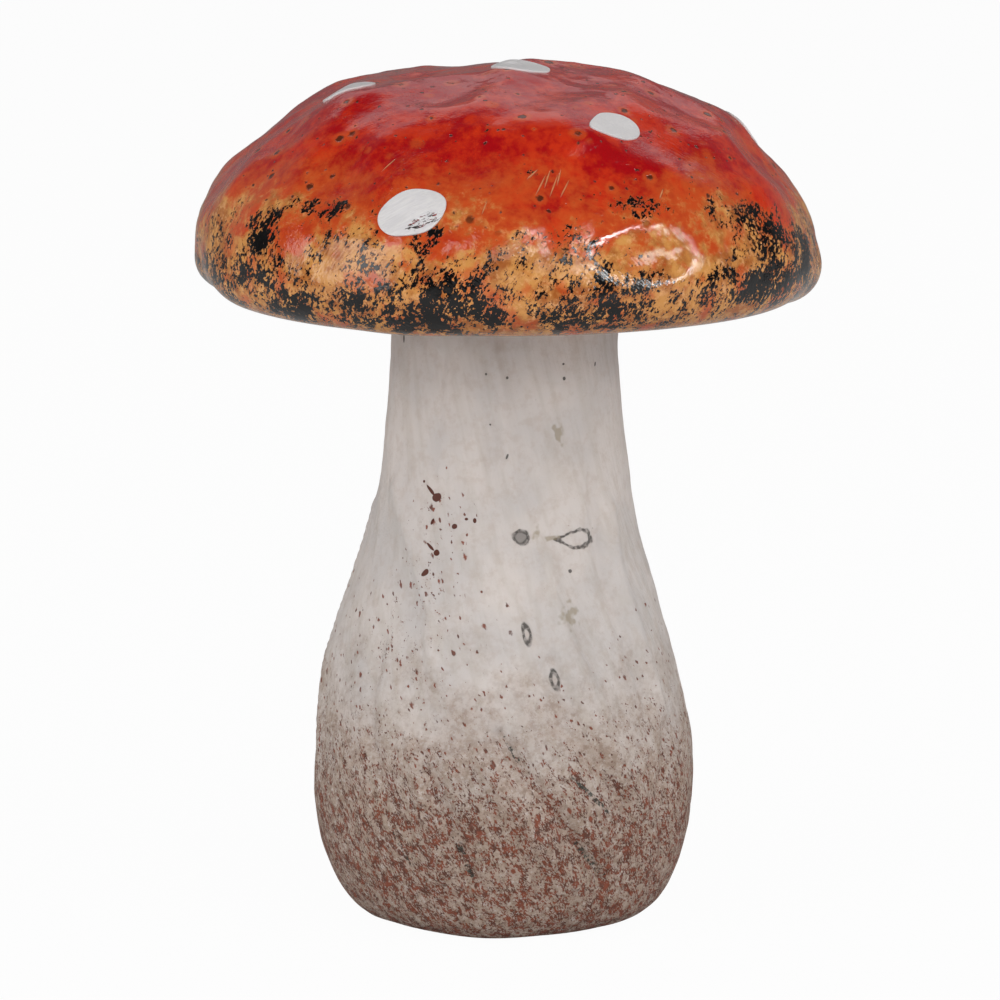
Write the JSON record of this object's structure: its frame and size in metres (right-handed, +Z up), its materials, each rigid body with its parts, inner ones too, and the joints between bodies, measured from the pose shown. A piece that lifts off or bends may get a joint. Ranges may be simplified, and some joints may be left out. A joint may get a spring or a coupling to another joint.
{
  "type": "ceramic mushroom ornament",
  "caption": "Free-standing hollow ceramic mushroom: glossy domed cap with raised enamel spots on a bellied matt stem with a vented foot.",
  "frame": {"origin": "centre of the foot's resting plane, on the ornament's axis", "axes": "+Z up from the foot to the crown; -Y is the front that the picture shows; +X is its right-hand side"},
  "size_m": [0.13, 0.13, 0.1788],
  "materials": {
    "cap_glaze": "glossy reactive glaze, crimson to ochre with dark flecks",
    "stem_slip": "matt off-white slip over terracotta",
    "bond_cement": "dull cement",
    "spot_enamel": "glossy white enamel"
  },
  "bodies": {
    "root": {"cap_shell": "cap_glaze", "stem_shell": "stem_slip", "bond_ring": "bond_cement", "spot_crown": "spot_enamel", "spot_front_left": "spot_enamel", "spot_front_right": "spot_enamel", "spot_left": "spot_enamel", "spot_right": "spot_enamel", "spot_back_right": "spot_enamel", "spot_back": "spot_enamel", "spot_back_left": "spot_enamel"}
  },
  "joints": []
}
